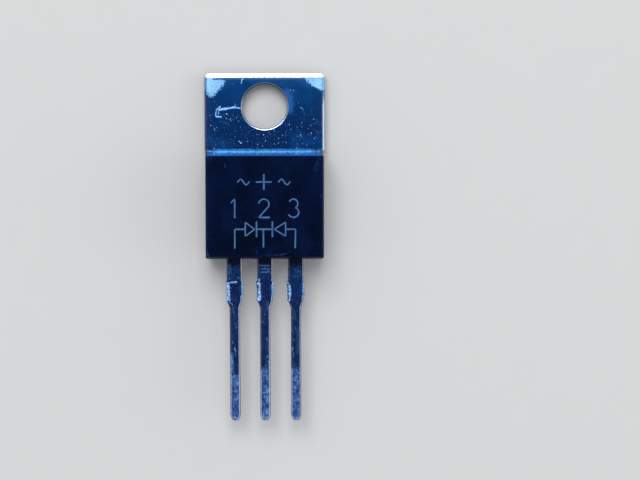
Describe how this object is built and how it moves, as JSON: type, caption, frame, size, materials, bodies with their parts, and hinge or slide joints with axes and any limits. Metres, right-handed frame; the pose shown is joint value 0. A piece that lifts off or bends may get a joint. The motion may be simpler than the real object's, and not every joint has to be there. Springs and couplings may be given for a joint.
{
  "type": "fast recovery diode",
  "caption": "Flat moulded power package on a drilled metal tab, with a row of flat leads, for a pair of rectifiers with one shared cathode.",
  "frame": {"origin": "centre of the mounting hole on the back face of the tab", "axes": "+Z along the hole, out of the marked front face; +Y towards the free end of the tab; the leads run along -Y"},
  "size_m": [0.01, 0.0287, 0.0045],
  "materials": {
    "plated_tab": "plated and mirror-like, with fine scuffs",
    "plated_lead": "bright tin plating, dulled towards the tips",
    "solder": "dull solder film",
    "chip": "silicon with a metallised top",
    "bond_wire": "drawn wire",
    "moulding": "fine matt epoxy moulding compound"
  },
  "bodies": {
    "root": {"heat_sink_and_cathode_lead": "plated_tab", "anode_lead_left": "plated_lead", "anode_lead_right": "plated_lead", "die_solder_left": "solder", "die_solder_right": "solder", "die_left": "chip", "die_right": "chip", "bond_wire_left": "bond_wire", "bond_wire_right": "bond_wire", "moulded_body": "moulding"}
  },
  "joints": []
}
